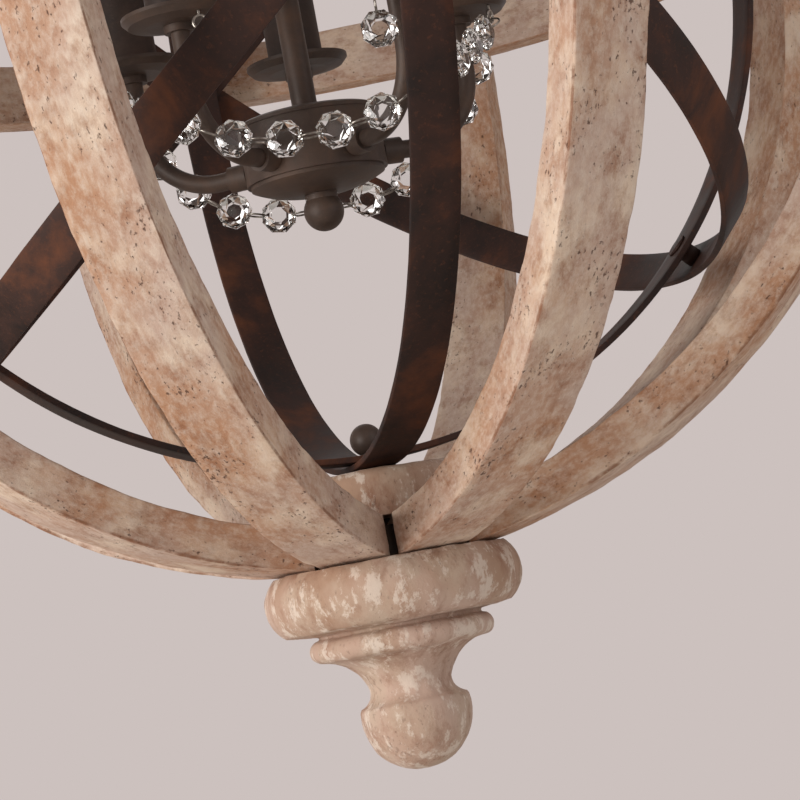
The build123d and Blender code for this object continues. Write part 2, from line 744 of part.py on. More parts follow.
def front_curve(t):
    """Front strand, left eye to right eye."""
    x = -front_hook[0] + 2 * front_hook[0] * t
    q = abs(x) / front_hook[0]
    z = front_low + (eye_z - front_low) * q ** front_power
    y = lean_y
    if abs(x) > lean_x:
        w = (abs(x) - lean_x) / (front_hook[0] - lean_x)
        y = lean_y + (front_hook[1] - lean_y) * w ** 1.15
    return Vector(x, y, z)


crystal_strand_front = Compound(children=strand(front_curve, Vector(0, -1, 0)))
crystal_strand_front.label = "crystal_strand_front"
export_step(crystal_strand_front, "parts/crystal_strand_front.step")

# ---- rear strand: hung free from the side pans behind the hub ----
rear_low = oz - 92.0
rear_power = 3.0


def rear_curve(t):
    """Rear strand, left eye to right eye, in one upright plane."""
    x = -rear_hook[0] + 2 * rear_hook[0] * t
    q = abs(x) / rear_hook[0]
    return Vector(x, rear_hook[1], rear_low + (eye_z - rear_low) * q ** rear_power)


crystal_strand_rear = Compound(children=strand(rear_curve, Vector(0, -1, 0)))
crystal_strand_rear.label = "crystal_strand_rear"
export_step(crystal_strand_rear, "parts/crystal_strand_rear.step")

# ---- crystal drops: one bead on a ring under each near pan ----
for side, name in ((1, "crystal_drop_right"), (-1, "crystal_drop_left")):
    top = Vector(side * drop_hook[0], drop_hook[1], eye_z + eye_wire + ring_wire + eye_play)
    hole = Vector(side * drop_hook[0], drop_hook[1], eye_z - 7.0)
    mid = hole - up * bead_hole
    drop = Compound(children=[
        place_bead(mid, Vector(0, 0, 1), Vector(0, -1, 0)),
        wire_ring(top, hole, Vector(0, -1, 0), 0.0),
    ])
    drop.label = name
    export_step(drop, "parts/%s.step" % name)

# ---- top loop: forged ring on a base screwed to the rod ----
with BuildPart() as top_loop:
    with Locations((0, 0, top_base_z + top_base_h / 2)):
        Cylinder(top_base_r, top_base_h)
    fillet(top_loop.edges().group_by(Axis.Z)[-1], 3)
    with Locations((0, 0, top_base_z + top_base_h + 1.5)):
        Cylinder(4.0, 5)
    with Locations(Location((0, 0, top_ring_mid), (0, 90, 0))):
        Torus(top_ring_r + top_wire_r, top_wire_r)
    with Locations((0, 0, top_base_z + (top_base_h - 1.5) / 2)):
        Cylinder(post_hole_r, top_base_h - 1.5, mode=Mode.SUBTRACT)
top_loop.part.label = "top_loop"
export_step(top_loop.part, "parts/top_loop.step")

# ---- chain links: round wire ovals, each turned a quarter from the last ----
link_half = (link_inner_len - link_inner_w) / 2
link_side = link_inner_w / 2 + link_wire_r
for k in range(link_count):
    mid = link_1_mid - k * link_pitch
    x_dir = (0, 1, 0) if k % 2 == 0 else (1, 0, 0)
    z_dir = (1, 0, 0) if k % 2 == 0 else (0, -1, 0)
    link_plane = Plane(origin=(0, 0, mid), x_dir=x_dir, z_dir=z_dir)
    with BuildPart() as chain_link:
        with BuildLine(link_plane) as oval:
            Line((link_side, -link_half), (link_side, link_half))
            ThreePointArc((link_side, link_half), (0, link_half + link_side), (-link_side, link_half))
            Line((-link_side, link_half), (-link_side, -link_half))
            ThreePointArc((-link_side, -link_half), (0, -link_half - link_side), (link_side, -link_half))
        start = link_plane.from_local_coords((link_side, -link_half, 0))
        with BuildSketch(Plane(origin=start, x_dir=z_dir, z_dir=(0, 0, 1))):
            Circle(link_wire_r)
        sweep(path=oval.wire())
    chain_link.part.label = "chain_link_%d" % (k + 1)
    export_step(chain_link.part, "parts/chain_link_%d.step" % (k + 1))

# ---- ceiling end: bracket, threaded nipple, canopy dome and screw collar with a ring ----
with BuildPart() as ceiling_bracket:
    with Locations((0, 0, -bracket_thick / 2)):
        Box(bracket_len, bracket_width, bracket_thick)
    fillet(ceiling_bracket.edges().filter_by(Axis.Z), 4)
    with BuildSketch(Plane.XY.offset(-bracket_thick - 1)):
        with Locations((bracket_pitch / 2, 0), (-bracket_pitch / 2, 0)):
            SlotOverall(slot_len, 2 * slot_r)
        Circle(nipple_hole_r)
    extrude(amount=bracket_thick + 2, mode=Mode.SUBTRACT)
ceiling_bracket.part.label = "ceiling_bracket"
export_step(ceiling_bracket.part, "parts/ceiling_bracket.step")
nipple_low = canopy_low - canopy_wall - collar_thick + 2
with BuildPart() as canopy_nipple:
    with Locations((0, 0, (nipple_low - 0.5) / 2)):
        Cylinder(nipple_r, -nipple_low - 0.5)
        Cylinder(3.4, 80, mode=Mode.SUBTRACT)
    with Locations((0, 0, -bracket_thick - 2.2)):
        Cylinder(8.5, 4)
        Cylinder(3.4, 80, mode=Mode.SUBTRACT)
canopy_nipple.part.label = "canopy_nipple"
export_step(canopy_nipple.part, "parts/canopy_nipple.step")
with BuildPart() as canopy:
    with BuildSketch(Plane.XZ):
        with BuildLine():
            Line((nipple_hole_r, canopy_low - canopy_wall), (17, canopy_low - canopy_wall))
            ThreePointArc((17, canopy_low - canopy_wall), (50, -15.5), (canopy_r, -0.2))
            Line((canopy_r, -0.2), (canopy_r - 2.0, -0.2))
            ThreePointArc((canopy_r - 2.0, -0.2), (48.9, -14.2), (17, canopy_low))
            Line((17, canopy_low), (nipple_hole_r, canopy_low))
            Line((nipple_hole_r, canopy_low), (nipple_hole_r, canopy_low - canopy_wall))
        make_face()
    revolve(axis=Axis.Z)
canopy.part.label = "canopy"
export_step(canopy.part, "parts/canopy.step")
collar_low = canopy_low - canopy_wall - collar_thick
with BuildPart() as collar_loop:
    with Locations((0, 0, collar_low + collar_thick / 2)):
        Cylinder(collar_r, collar_thick)
    fillet(collar_loop.edges().group_by(Axis.Z)[0], 2.5)
    with Locations((0, 0, collar_low - 2)):
        Cylinder(4.2, 7)
    with Locations(Location((0, 0, loop_mid), (90, 0, 0))):
        Torus(loop_inner_r + loop_wire_r, loop_wire_r)
    with Locations((0, 0, collar_low + collar_thick / 2 + 1.6)):
        Cylinder(nipple_hole_r, collar_thick, mode=Mode.SUBTRACT)
collar_loop.part.label = "collar_loop"
export_step(collar_loop.part, "parts/collar_loop.step")
print("orb centre z", round(oz, 2), "height", round(oz + seat_low - 84.2, 1))
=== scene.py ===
import bpy
import bmesh
import json
import math
from mathutils import Matrix, Vector


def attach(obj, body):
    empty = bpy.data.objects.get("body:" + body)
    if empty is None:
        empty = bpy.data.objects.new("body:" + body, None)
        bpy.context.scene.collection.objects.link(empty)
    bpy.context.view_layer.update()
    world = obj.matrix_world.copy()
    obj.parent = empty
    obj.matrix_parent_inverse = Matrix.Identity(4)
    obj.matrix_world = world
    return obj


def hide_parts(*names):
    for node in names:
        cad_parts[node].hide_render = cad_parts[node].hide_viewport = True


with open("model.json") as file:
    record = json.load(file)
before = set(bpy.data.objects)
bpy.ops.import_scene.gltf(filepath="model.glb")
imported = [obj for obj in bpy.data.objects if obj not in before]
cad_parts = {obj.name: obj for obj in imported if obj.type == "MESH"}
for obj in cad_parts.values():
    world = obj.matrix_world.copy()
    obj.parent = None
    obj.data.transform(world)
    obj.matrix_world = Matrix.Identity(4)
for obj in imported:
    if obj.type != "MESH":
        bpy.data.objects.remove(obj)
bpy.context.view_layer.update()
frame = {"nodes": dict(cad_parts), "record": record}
bpy.ops.object.select_all(action="DESELECT")
cad = frame["nodes"]

# ------------------------------------------------------------------ wooden ribs
# Eight softwood ribs, 29 x 17 mm, sawn and bent to half ellipses and mitred where they meet at the poles.
# The wood is bleached and sanded back: cream and tan, orange-brown where old colour stays in it,
# with short dark pits along the grain, smears of lime and a thin dark line along each sawn edge.
cage_z = -0.4939          # middle of the iron cage, below the ceiling
rib_mid = cage_z + 0.002
rib_across, rib_up = 0.2539, 0.2471
rib_wide, rib_thick = 0.0292, 0.0173
rib_first, rib_count = -18.6, 8
seat_low, seat_high = cage_z - 0.242, cage_z + 0.246
band_z = cage_z + 0.0093
crease = math.radians(38)    # edges sharper than this stay edges


def linear(hexa):
    """sRGB hex to linear colour."""
    out = []
    for i in (1, 3, 5):
        c = int(hexa[i:i + 2], 16) / 255
        out.append(c / 12.92 if c <= 0.04045 else ((c + 0.055) / 1.055) ** 2.4)
    return (out[0], out[1], out[2], 1.0)


def put(tree, kind, settings=None, links=None):
    """Adds a node, sets what it is given by name and links its inputs."""
    n = tree.nodes.new(kind)
    for key, value in (settings or {}).items():
        if key == "stops":
            while len(n.color_ramp.elements) < len(value):
                n.color_ramp.elements.new(0.5)
            for e, (place, hexa) in zip(n.color_ramp.elements, value):
                e.position, e.color = place, linear(hexa)
        elif isinstance(key, int) or not hasattr(n, key):
            n.inputs[key].default_value = value
        else:
            setattr(n, key, value)
    for key, source in (links or {}).items():
        tree.links.new(source, n.inputs[key])
    return n


def finish(name):
    """New material with its shader and output."""
    m = bpy.data.materials.new(name)
    m.use_nodes = True
    t = m.node_tree
    t.nodes.clear()
    shader = t.nodes.new("ShaderNodeBsdfPrincipled")
    out = t.nodes.new("ShaderNodeOutputMaterial")
    t.links.new(shader.outputs[0], out.inputs[0])
    return m, t, shader


def bent_bar(wide, thick, mid_r, centre, axis, radial, first, turn, steps, cuts):
    """Bar bent round an axis: its section drawn as a plane's edge, then spun."""
    axis, radial = Vector(axis).normalized(), Vector(radial).normalized()
    out = Matrix.Rotation(first, 3, axis) @ radial
    bpy.ops.mesh.primitive_plane_add(size=1)
    bar = bpy.context.object
    face = Matrix((axis * wide, out * thick, axis.cross(out))).transposed().to_4x4()
    face.translation = Vector(centre) + out * mid_r
    bar.matrix_world = face
    bpy.ops.object.transform_apply(location=True, rotation=True, scale=True)
    bpy.ops.object.mode_set(mode="EDIT")
    bpy.ops.mesh.select_all(action="SELECT")
    bpy.ops.mesh.delete(type="ONLY_FACE")
    bpy.ops.mesh.select_all(action="SELECT")
    bpy.ops.mesh.subdivide(number_cuts=cuts)
    bpy.ops.mesh.select_all(action="SELECT")
    bpy.ops.mesh.spin(steps=steps, angle=turn, center=centre, axis=axis)
    bpy.ops.mesh.select_all(action="SELECT")
    bpy.ops.mesh.remove_doubles(threshold=0.00002)
    bpy.ops.mesh.normals_make_consistent(inside=False)
    bpy.ops.object.mode_set(mode="OBJECT")
    return bar


def soften(piece, width, segments):
    """Sharp edges worn round."""
    worn = piece.modifiers.new("worn", "BEVEL")
    worn.width, worn.segments, worn.limit_method, worn.angle_limit = width, segments, "ANGLE", crease
    bpy.context.view_layer.objects.active = piece
    bpy.ops.object.modifier_apply(modifier="worn")


def weather(piece, size, depth):
    """Uneven, handled surface: a soft cloud pushed into the mesh."""
    cloud = bpy.data.textures.get("dents %g" % size) or bpy.data.textures.new("dents %g" % size, "CLOUDS")
    cloud.noise_scale = size
    d = piece.modifiers.new("dents", "DISPLACE")
    d.texture, d.texture_coords, d.strength, d.mid_level = cloud, "LOCAL", depth, 0.5
    bpy.context.view_layer.objects.active = piece
    bpy.ops.object.modifier_apply(modifier="dents")


def seat(piece, name, material, body, nodes):
    """Names a finished piece, gives it its finish, its body and the nodes it stands for."""
    bpy.context.view_layer.objects.active = piece
    piece.name = piece.data.name = name
    piece.data.materials.clear()
    piece.data.materials.append(material)
    piece.select_set(True)
    bpy.ops.object.shade_smooth_by_angle(angle=crease)
    piece.select_set(False)
    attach(piece, body)
    for node in nodes:
        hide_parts(node)
    return piece


def noise(tree, scale, detail, at, rough=0.5):
    """Noise at a place: how many blotches in a metre, and how much finer detail."""
    n = put(tree, "ShaderNodeTexNoise", {"Scale": scale, "Detail": detail, "Roughness": rough}, {"Vector": at})
    return n.outputs["Fac"]


def over(tree, low, high, most, fac):
    """From nothing at low to most at high."""
    n = put(tree, "ShaderNodeMapRange", {"From Min": low, "From Max": high, "To Max": most}, {0: fac})
    return n.outputs[0]


def blend(tree, fac, under, hexa):
    """One colour laid over what is under it."""
    n = put(tree, "ShaderNodeMix", {"data_type": "RGBA", 7: linear(hexa)}, {0: fac, 6: under})
    return n.outputs[2]


def pine(name, spread, cream, tan, warm, pit, edge_at, lime=(210.0, 0.44, 0.66, 0.5), pitting=0.8):
    """Bleached softwood; spread gives the pattern's coordinates in metres, along the grain first.
    lime is how fine its smears are, the noise where they start and end, and how white they get."""
    m, t, s = finish(name)
    if spread == "uv":
        base = put(t, "ShaderNodeUVMap", {"uv_map": "grain"}).outputs[0]
    else:
        base = put(t, "ShaderNodeTexCoord").outputs["Object"]
    stretch = (1.0, 1.6, 1.6) if spread == "uv" else (2.0, 2.0, 1.0)
    lay = put(t, "ShaderNodeMapping", {"Scale": stretch}, {"Vector": base}).outputs[0]
    # the grey of old bare wood against the brown of old stain, over 150 mm and more
    aged = over(t, 0.43, 0.57, 1.0, noise(t, 7.0, 3.0, lay, 0.6))
    cast = put(t, "ShaderNodeMix", {"data_type": "RGBA", 6: linear(tan), 7: linear("#bfa393")}, {0: aged})
    # broad tone: soft patches 30 to 60 mm long
    worn = over(t, 0.48, 0.62, 0.75, noise(t, 26.0, 6.0, lay, 0.6))
    colour = blend(t, worn, cast.outputs[2], cream)
    # old colour left in the grain, 10 to 20 mm
    stain = noise(t, 50.0, 9.0, lay, 0.72)
    colour = blend(t, over(t, 0.49, 0.67, 0.75, stain), colour, warm)
    # lime rubbed into the surface: dry scratchy smears
    smear = noise(t, lime[0], 8.0, lay, 0.75)
    colour = blend(t, over(t, lime[1], lime[2], lime[3], smear), colour, "#dfd0c2")
    # short dark pits along the grain, 1 x 3 mm
    fine = noise(t, 380.0, 3.0, lay, 0.6)
    where = noise(t, 48.0, 2.0, base)
    both = put(t, "ShaderNodeMath", {"operation": "MULTIPLY_ADD", 1: 0.45}, {0: where, 2: fine})
    pits = over(t, 0.86, 0.95, pitting, both.outputs[0])
    colour = blend(t, pits, colour, pit)
    if spread == "uv":
        # dark line where the saw left the arris
        parts = put(t, "ShaderNodeSeparateXYZ", None, {0: base})
        side = put(t, "ShaderNodeMath", {"operation": "ABSOLUTE"}, {0: parts.outputs[1]})
        off = put(t, "ShaderNodeMath", {"operation": "SUBTRACT", 1: edge_at}, {0: side.outputs[0]})
        off = put(t, "ShaderNodeMath", {"operation": "ABSOLUTE"}, {0: off.outputs[0]})
        line = over(t, 0.0011, 0.0003, 1.0, off.outputs[0])
        torn = over(t, 0.42, 0.55, 0.7, stain)
        line = put(t, "ShaderNodeMath", {"operation": "MULTIPLY"}, {0: line, 1: torn})
        colour = blend(t, line.outputs[0], colour, "#7a4c30")
    t.links.new(colour, s.inputs["Base Color"])
    rough = put(t, "ShaderNodeMapRange", {"To Min": 0.68, "To Max": 0.9}, {0: stain})
    t.links.new(rough.outputs[0], s.inputs["Roughness"])
    s.inputs["Specular IOR Level"].default_value = 0.3
    height = put(t, "ShaderNodeMath", {"operation": "MULTIPLY_ADD", 1: -1.6}, {0: pits, 2: smear})
    height = put(t, "ShaderNodeMath", {"operation": "MULTIPLY_ADD", 1: 0.35}, {0: fine, 2: height.outputs[0]})
    bump = put(t, "ShaderNodeBump", {"Strength": 0.55, "Distance": 0.0006}, {"Height": height.outputs[0]})
    t.links.new(bump.outputs[0], s.inputs["Normal"])
    return m


saw_line = rib_wide / 2 + 0.0004
bleached = pine("bleached pine", "uv", "#e0cab4", "#b5886a", "#8c5a3c", "#4a3023", saw_line)


def lay_grain(piece, turn, origin, shift):
    """UV in metres: first along the bar's length, second round its section."""
    layer = piece.data.uv_layers.new(name="grain")
    for p in piece.data.polygons:
        for li in p.loop_indices:
            along, across, depth, wide, deep = turn(piece.data.vertices[piece.data.loops[li].vertex_index].co, origin)
            facing = turn(origin + p.normal * 0.1, origin)
            if abs(facing[1]) > 0.07:
                v = (wide / 2 + depth) * (1 if facing[1] > 0 else -1)
            elif depth < deep / 2:
                v = across
            else:
                v = wide + deep - across
            layer.data[li].uv = (along + shift, v)


reach = math.radians(89.4)     # each end stops short of the pole's axis
mitre_gap, post_gap = 0.0016, 0.008
rib = bent_bar(rib_wide, rib_thick, rib_across - rib_thick / 2, (0, 0, rib_mid), (1, 0, 0), (0, -1, 0),
               -reach, -2 * reach, 250, 7)
bpy.ops.object.mode_set(mode="EDIT")
bpy.ops.mesh.select_all(action="SELECT")
bpy.ops.transform.resize(value=(1, 1, rib_up / rib_across), center_override=(0, 0, rib_mid))
half = math.radians(180 / rib_count)
for co, no in (((0, -mitre_gap / math.sin(half), 0), (math.cos(half), math.sin(half), 0)),
               ((0, -mitre_gap / math.sin(half), 0), (-math.cos(half), math.sin(half), 0)),
               ((0, -post_gap, 0), (0, 1, 0)),
               ((0, 0, seat_high), (0, 0, 1)), ((0, 0, seat_low), (0, 0, -1))):
    bpy.ops.mesh.select_all(action="SELECT")
    bpy.ops.mesh.bisect(plane_co=co, plane_no=no, use_fill=True, clear_outer=True)
bpy.ops.mesh.select_all(action="SELECT")
bpy.ops.mesh.normals_make_consistent(inside=False)
bpy.ops.object.mode_set(mode="OBJECT")
soften(rib, 0.0011, 3)
sink_r, sink_deep = 0.0045, 0.0032
bpy.ops.mesh.primitive_cylinder_add(vertices=40, radius=sink_r, depth=2 * sink_deep,
                                    location=(0, -rib_across, band_z), rotation=(math.pi / 2, 0, 0))
sink = bpy.context.object
cut = rib.modifiers.new("sink", "BOOLEAN")
cut.operation, cut.object, cut.solver = "DIFFERENCE", sink, "EXACT"
bpy.context.view_layer.objects.active = rib
bpy.ops.object.modifier_apply(modifier="sink")
bpy.data.objects.remove(sink)


mean_r, next_board = 0.25, 1.37     # a rib's length per radian, and how far along the grain the next rib was cut


def rib_place(p, origin):
    """Along, across, depth, width and thickness of a point on a rib facing the viewer."""
    d = p - origin
    angle = math.atan2(d.z, -d.y)
    outer = rib_across * rib_up / math.sqrt((rib_up * math.cos(angle)) ** 2 + (rib_across * math.sin(angle)) ** 2)
    return angle * mean_r, d.x, outer - math.hypot(d.y, d.z), rib_wide, rib_thick


lay_grain(rib, rib_place, Vector((0, 0, rib_mid)), 0.0)
ribs = []
for k in range(rib_count):
    piece = rib if k == 0 else rib.copy()
    if k:
        piece.data = rib.data.copy()
        bpy.context.collection.objects.link(piece)
    ribs.append(piece)
for k, piece in enumerate(ribs):
    bpy.ops.object.select_all(action="DESELECT")
    piece.select_set(True)
    bpy.context.view_layer.objects.active = piece
    piece.rotation_euler.z = math.radians(rib_first + 360 / rib_count * k)
    bpy.ops.object.transform_apply(location=True, rotation=True, scale=True)
    for corner in piece.data.uv_layers["grain"].data:
        corner.uv = (corner.uv[0] + next_board * k, corner.uv[1])
    weather(piece, 0.045, 0.0011)
    weather(piece, 0.011, 0.0007)
    weather(piece, 0.0045, 0.0004)
    seat(piece, "rib_%d" % (k + 1), bleached, "orb", ["wood_rib_%d" % (k + 1)])

# ------------------------------------------------------------------ equator band
# One wooden hoop, 28 mm high and 16 mm thick, bent round inside the ribs and screwed to each of them.
band_r, band_thick, band_high = 0.2364, 0.016, 0.028
band = bent_bar(band_high, band_thick, band_r - band_thick / 2, (0, 0, band_z), (0, 0, 1), (0, -1, 0),
                0.0, 2 * math.pi, 300, 7)
soften(band, 0.001, 3)


def band_place(p, origin):
    """Along, across, depth, width and thickness of a point on the band."""
    d = p - origin
    return math.atan2(d.x, d.y) * band_r, d.z, band_r - math.hypot(d.x, d.y), band_high, band_thick


lay_grain(band, band_place, Vector((0, 0, band_z)), 5.0)
weather(band, 0.04, 0.0008)
weather(band, 0.009, 0.0005)
seat(band, "band", bleached, "orb", ["equator_band"])

# ------------------------------------------------------------------ turned wood at the poles
# Inner clamp discs, the finial below and the cap above are lathe-turned softwood, limed more heavily than
# the ribs: chalky cream on the swells, pinkish brown where it wore off, rough to the touch.
limed = pine("limed pine", "object", "#bda794", "#a98973", "#8f6650", "#604334", 0,
             lime=(62.0, 0.525, 0.585, 0.65), pitting=0.3)


def arc(a, m, b, n):
    """Points on the circle through three points, from after a to b."""
    d = 2 * (a[0] * (m[1] - b[1]) + m[0] * (b[1] - a[1]) + b[0] * (a[1] - m[1]))
    sa, sm, sb = (p[0] ** 2 + p[1] ** 2 for p in (a, m, b))
    cx = (sa * (m[1] - b[1]) + sm * (b[1] - a[1]) + sb * (a[1] - m[1])) / d
    cy = (sa * (b[0] - m[0]) + sm * (a[0] - b[0]) + sb * (m[0] - a[0])) / d
    t0, tm, t1 = (math.atan2(p[1] - cy, p[0] - cx) for p in (a, m, b))
    turn = (t1 - t0) % (2 * math.pi)
    if (tm - t0) % (2 * math.pi) > turn:
        turn -= 2 * math.pi
    r = math.hypot(a[0] - cx, a[1] - cy)
    return [(cx + r * math.cos(t0 + turn * i / n), cy + r * math.sin(t0 + turn * i / n)) for i in range(1, n + 1)]


def turned(points, around, where=(0, 0)):
    """Lathe work in millimetres from the cage's middle: a ring drawn out profile point by point."""
    pts = [(max(r, 0.15) / 1000, cage_z + z / 1000) for r, z in points]
    r, z = pts[0]
    loop = math.hypot(points[0][0] - points[-1][0], points[0][1] - points[-1][1]) < 0.01
    bpy.ops.mesh.primitive_circle_add(vertices=around, radius=r, location=(where[0], where[1], z),
                                      fill_type="NOTHING" if loop else "NGON")
    piece = bpy.context.object
    bpy.ops.object.transform_apply(location=True, rotation=True, scale=True)
    bpy.ops.object.mode_set(mode="EDIT")
    bpy.ops.mesh.select_mode(type="EDGE")
    bpy.ops.mesh.select_all(action="SELECT")
    for r2, z2 in pts[1:]:
        bpy.ops.mesh.extrude_edges_move(TRANSFORM_OT_translate={"value": (0, 0, z2 - z)})
        bpy.ops.transform.resize(value=(r2 / r, r2 / r, 1), center_override=(where[0], where[1], z2))
        r, z = r2, z2
    if not loop:
        bpy.ops.mesh.edge_face_add()
    bpy.ops.mesh.select_all(action="SELECT")
    bpy.ops.mesh.remove_doubles(threshold=0.000002)
    bpy.ops.mesh.normals_make_consistent(inside=False)
    bpy.ops.object.mode_set(mode="OBJECT")
    return piece


def run(a, b, n):
    """Points on a straight stretch of profile, from after a to b."""
    return [(a[0] + (b[0] - a[0]) * i / n, a[1] + (b[1] - a[1]) * i / n) for i in range(1, n + 1)]


for side, name, node in ((-1, "clamp_disc_low", "lower_clamp_disc"), (1, "clamp_disc_high", "upper_clamp_disc")):
    low, high = (-225.6, -206.6) if side < 0 else (229.6, 210.6)
    p = [(5.4, low)] + run((5.4, low), (37.8, low), 10)
    p += arc((37.8, low), (38.3, low - side * 0.2), (38.5, low - side * 0.7), 2)
    p += run(p[-1], (38.5, high + side * 6), 4)
    p += arc((38.5, high + side * 6), (36.74, high + side * 1.76), (32.5, high), 8)
    p += run((32.5, high), (5.4, high), 9) + run((5.4, high), (5.4, low), 5)
    disc = turned(p, 96)
    weather(disc, 0.02, 0.0008)
    weather(disc, 0.006, 0.0005)
    seat(disc, name, limed, "orb", [node])

p = [(0.15, -242.0)] + run((0.15, -242), (47.0, -242), 14)
p += arc((47.0, -242), (52.3, -254), (46, -266.2), 22)
p += run((46, -266.2), (34, -267.4), 5) + arc((34, -267.4), (33, -268.4), (34, -269.4), 5)
p += arc((34, -269.4), (37.5, -273.6), (33.5, -278.2), 12)
p += arc((33.5, -278.2), (22, -283), (16.6, -292), 12)
p += arc((16.6, -292), (17.8, -296.6), (21.4, -299.2), 7) + [(21.9, -300.0), (22.2, -301)]
p += arc((22.2, -301), (15.84, -319.84), (0.4, -326.2), 24)
finial = turned(p, 144)
weather(finial, 0.03, 0.0013)
weather(finial, 0.009, 0.0009)
weather(finial, 0.004, 0.0004)
seat(finial, "finial", limed, "orb", ["lower_finial"])

p = [(5.4, 246.0)] + run((5.4, 246), (47.0, 246), 12) + arc((47.0, 246), (52.3, 258), (46, 270.2), 22)
p += run((46, 270.2), (34, 271.4), 4) + arc((34, 271.4), (33, 272.4), (34, 273.4), 5)
p += arc((34, 273.4), (31.5, 279.5), (24, 283), 10) + run((24, 283), (5.4, 283), 6) + run((5.4, 283), (5.4, 246), 8)
cap = turned(p, 144)
weather(cap, 0.03, 0.0011)
weather(cap, 0.009, 0.0007)
seat(cap, "cap", limed, "orb", ["upper_cap"])

# ------------------------------------------------------------------ iron cage
# Four hoops of 18 mm flat strap, rolled and riveted one inside another: two upright, two leaning 42 degrees.
# Hot-rolled mild steel, browned by rust and waxed, so it is near black in the shade and fox brown in the light.
def iron(name, dark, brown, rust, rough, metal, size):
    """Browned iron; size is how many rust patches go in a metre."""
    m, t, s = finish(name)
    coord = put(t, "ShaderNodeTexCoord")
    at = coord.outputs["Object"]
    broad = put(t, "ShaderNodeTexNoise", {"Scale": size, "Detail": 7.0, "Roughness": 0.65, "Distortion": 0.4},
                {"Vector": at}).outputs["Fac"]
    tone = put(t, "ShaderNodeValToRGB", {"stops": [(0.36, dark), (0.52, brown), (0.68, rust)]}, {0: broad})
    grit = noise(t, 520.0, 4.0, at, 0.7)
    colour = blend(t, over(t, 0.56, 0.72, 0.5, grit), tone.outputs[0], rust)
    t.links.new(colour, s.inputs["Base Color"])
    r = put(t, "ShaderNodeMapRange", {"From Min": 0.3, "From Max": 0.7, "To Min": rough - 0.1, "To Max": rough + 0.15},
            {0: broad})
    t.links.new(r.outputs[0], s.inputs["Roughness"])
    s.inputs["Metallic"].default_value = metal
    s.inputs["Specular IOR Level"].default_value = 0.35
    peen = noise(t, 110.0, 2.0, at)
    h = put(t, "ShaderNodeMath", {"operation": "MULTIPLY_ADD", 1: 0.5}, {0: grit, 2: peen})
    bump = put(t, "ShaderNodeBump", {"Strength": 0.35, "Distance": 0.0004}, {"Height": h.outputs[0]})
    t.links.new(bump.outputs[0], s.inputs["Normal"])
    return m


rusty = iron("browned strap iron", "#1d110e", "#37211a", "#5e3622", 0.68, 0.0, 26.0)
wrought = iron("dark waxed iron", "#3d312b", "#4e3f37", "#614b3e", 0.5, 0.1, 34.0)
cage_az = math.radians(14.1)
near = Vector((math.sin(cage_az), -math.cos(cage_az), 0))
aside = Vector((math.cos(cage_az), math.sin(cage_az), 0))
lean = math.radians(42.3)
upright, sideways = Vector((0, 0, math.cos(lean))), aside * math.sin(lean)
strap_wide, strap_thick = 0.0184, 0.0026
for name, inner, normal in (("hoop_vertical_b", 0.1994, near), ("hoop_vertical_a", 0.2024, aside),
                            ("hoop_tilted_a", 0.2054, upright - sideways),
                            ("hoop_tilted_b", 0.2084, upright + sideways)):
    side = normal.cross(Vector((0.3, 0.2, 0.9))).normalized()
    hoop = bent_bar(strap_wide, strap_thick, inner + strap_thick / 2, (0, 0, cage_z), normal, side,
                    0.0, 2 * math.pi, 240, 3)
    soften(hoop, 0.0005, 2)
    weather(hoop, 0.03, 0.0004)
    seat(hoop, name.replace("hoop", "strap"), rusty, "orb", [name])

# ------------------------------------------------------------------ hoop rivets
# Soft iron rivets through the crossings, each on a line from the cage's middle; their heads are hammered
# nearly flush, 1 mm high, so they hardly show.
full_head, kept_part = 0.0024, 0.4


def loose_parts(node, name):
    """A copy of a node's mesh, taken apart into its loose solids, all selected."""
    bpy.ops.object.select_all(action="DESELECT")
    whole = bpy.data.objects.new(name, cad[node].data.copy())
    bpy.context.collection.objects.link(whole)
    whole.select_set(True)
    bpy.context.view_layer.objects.active = whole
    bpy.ops.object.mode_set(mode="EDIT")
    bpy.ops.mesh.select_all(action="SELECT")
    bpy.ops.mesh.remove_doubles(threshold=0.00001)
    bpy.ops.mesh.separate(type="LOOSE")
    bpy.ops.object.mode_set(mode="OBJECT")
    return list(bpy.context.selected_objects)


heart = Vector((0, 0, cage_z))
for one in loose_parts("hoop_rivets", "rivets"):
    points = one.data.vertices
    line = (sum((v.co for v in points), Vector()) / len(points) - heart).normalized()
    reach = [(v.co - heart).dot(line) for v in points]
    top, bottom = max(reach) - full_head, min(reach) + full_head
    for v, far in zip(points, reach):
        past = max(far - top, 0) + min(far - bottom, 0)
        v.co -= line * past * (1 - kept_part)
bpy.ops.object.join()
seat(bpy.context.object, "rivets", rusty, "orb", ["hoop_rivets"])

# ------------------------------------------------------------------ glass beads on wire rings
# Machine-cut glass octagons, 14 mm across, with a table and two rows of facets on each face.
# Soft steel wire rings join them; the strands hang from eyes under the drip pans.
glass, t, s = finish("cut crystal glass")
s.inputs["Base Color"].default_value = linear("#fbfcfb")
s.inputs["Transmission Weight"].default_value = 1.0
s.inputs["IOR"].default_value = 1.54
coord = put(t, "ShaderNodeTexCoord")
streak = noise(t, 90.0, 2.0, coord.outputs["Object"])
film = put(t, "ShaderNodeMapRange", {"To Min": 0.0, "To Max": 0.05}, {0: streak})
t.links.new(film.outputs[0], s.inputs["Roughness"])
wire, t, s = finish("plated steel wire")
coord = put(t, "ShaderNodeTexCoord")
dull = noise(t, 400.0, 3.0, coord.outputs["Object"])
tone = put(t, "ShaderNodeValToRGB", {"stops": [(0.35, "#6f6963"), (0.65, "#b9b3ab")]}, {0: dull})
t.links.new(tone.outputs[0], s.inputs["Base Color"])
s.inputs["Metallic"].default_value = 1.0
s.inputs["Roughness"].default_value = 0.28

